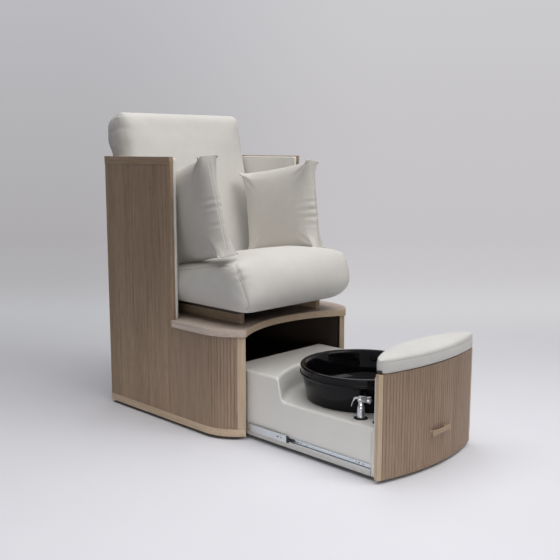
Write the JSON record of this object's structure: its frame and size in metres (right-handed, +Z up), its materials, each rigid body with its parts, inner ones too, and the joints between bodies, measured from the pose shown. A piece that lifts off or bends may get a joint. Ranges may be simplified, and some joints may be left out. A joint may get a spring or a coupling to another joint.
{
  "type": "pedicure spa chair",
  "caption": "Pedicure chair: wood cabinet seat with cream cushions, fluted low case and a pull-out drawer with a black foot basin, hand shower, footrest pad and fluted front.",
  "frame": {"origin": "on the floor, under the middle of the cabinet's plan", "axes": "+Z up; the seat faces -Y and the drawer pulls out along -Y; +X to the left of the person in the seat"},
  "size_m": [0.695, 1.4124, 1.1757],
  "materials": {
    "oak_laminate": "matt greige oak laminate, upright grain",
    "top_laminate": "matt pale oak laminate",
    "light_oak": "matt light oak edge band and solid wood",
    "dark_board": "matt dark board",
    "leatherette": "smooth cream leatherette, a coated fabric",
    "white_moulding": "smooth satin white",
    "zinc_steel": "zinc-plated rolled steel",
    "black_plastic": "matt black",
    "black_rubber": "matt black rubber",
    "black_basin": "gloss black resin",
    "chrome": "polished chrome",
    "brass_fitting": "nickel-plated brass"
  },
  "bodies": {
    "cabinet": {"floor_glides": "black_plastic", "base_board": "dark_board", "skirt_band_left": "light_oak", "skirt_band_right": "light_oak", "side_panel_left": "oak_laminate", "side_panel_right": "oak_laminate", "side_cap_left": "oak_laminate", "side_cap_right": "oak_laminate", "flute_panel_left": "oak_laminate", "flute_panel_right": "oak_laminate", "edge_post_left": "light_oak", "edge_post_right": "light_oak", "inner_side_left": "dark_board", "inner_side_right": "dark_board", "rear_panel": "oak_laminate", "platform_board": "top_laminate", "platform_lipping": "light_oak", "seat_rails": "light_oak", "seat_board": "dark_board", "seat_cushion": "leatherette", "back_gussets": "dark_board", "back_board": "dark_board", "back_cushion": "leatherette", "arm_lining_left": "leatherette", "arm_lining_right": "leatherette", "runner_outer_left": "zinc_steel", "runner_outer_right": "zinc_steel", "water_connections": "brass_fitting"},
    "drawer": {"runner_inner_left": "zinc_steel", "runner_inner_right": "zinc_steel", "drawer_side_left": "dark_board", "drawer_side_right": "dark_board", "drawer_base": "dark_board", "drawer_back": "dark_board", "deck_board": "dark_board", "deck_moulding": "white_moulding", "drawer_inner_front": "white_moulding", "front_panel": "oak_laminate", "front_strips": "light_oak", "pull_handle": "light_oak", "footrest_cleat": "dark_board", "footrest_board": "dark_board", "footrest_pad": "leatherette", "basin": "black_basin", "basin_waste": "chrome", "waste_trap": "black_plastic", "overflow_cover": "chrome", "shower_grommet": "black_rubber", "mixer_grommet": "black_rubber", "mixer_body": "chrome"},
    "hand_shower": {"hand_shower": "chrome"},
    "shower_trigger": {"shower_trigger": "chrome"},
    "mixer_lever": {"mixer_lever": "chrome"},
    "drain_plug": {"drain_plug": "chrome"},
    "loose_cushion_left": {"cushion_left": "leatherette"},
    "loose_cushion_right": {"cushion_right": "leatherette"},
    "release_lever_left": {"release_lever_left": "black_plastic"},
    "release_lever_right": {"release_lever_right": "black_plastic"},
    "runner_mid_left": {"runner_mid_left": "zinc_steel"},
    "runner_mid_right": {"runner_mid_right": "zinc_steel"}
  },
  "joints": [
    {"name": "drawer_slide", "type": "slide", "parent": "cabinet", "child": "drawer", "axis": [0, 1, 0], "range_m": [0, 0.564]},
    {"name": "runner_left_slide", "type": "slide", "parent": "cabinet", "child": "runner_mid_left", "axis": [0, 1, 0], "range_m": [0, 0.282]},
    {"name": "runner_right_slide", "type": "slide", "parent": "cabinet", "child": "runner_mid_right", "axis": [0, 1, 0], "range_m": [0, 0.282]},
    {"name": "release_left_pivot", "type": "hinge", "parent": "drawer", "child": "release_lever_left", "pos_m": [-0.247, -0.51038, 0.046], "axis": [1, 0, 0], "range_deg": [-2.5, 2.5], "stiffness_Nm_per_rad": 0.1},
    {"name": "release_right_pivot", "type": "hinge", "parent": "drawer", "child": "release_lever_right", "pos_m": [0.247, -0.51038, 0.046], "axis": [1, 0, 0], "range_deg": [-2.5, 2.5], "stiffness_Nm_per_rad": 0.1},
    {"name": "hand_shower_lift", "type": "slide", "parent": "drawer", "child": "hand_shower", "axis": [0, 0, 1], "range_m": [0, 0.12]},
    {"name": "shower_trigger_pivot", "type": "hinge", "parent": "hand_shower", "child": "shower_trigger", "pos_m": [-0.20709, -0.80789, 0.234], "axis": [0.6428, 0.766, 0], "range_deg": [-18, 0], "stiffness_Nm_per_rad": 0.3},
    {"name": "mixer_turn", "type": "hinge", "parent": "drawer", "child": "mixer_lever", "pos_m": [-0.185, -0.89338, 0.222], "axis": [0, 0, 1], "range_deg": [-45, 45]},
    {"name": "drain_plug_lift", "type": "slide", "parent": "drawer", "child": "drain_plug", "axis": [0, 0, 1], "range_m": [0, 0.008]},
    {"name": "loose_cushion_left_lift", "type": "slide", "parent": "cabinet", "child": "loose_cushion_left", "axis": [0, 0, 1], "range_m": [0, 0.25]},
    {"name": "loose_cushion_right_lift", "type": "slide", "parent": "cabinet", "child": "loose_cushion_right", "axis": [0, 0, 1], "range_m": [0, 0.25]}
  ],
  "couplings": [
    {"joint": "runner_left_slide", "follows": "drawer_slide", "ratio": 0.5},
    {"joint": "runner_right_slide", "follows": "drawer_slide", "ratio": 0.5}
  ]
}
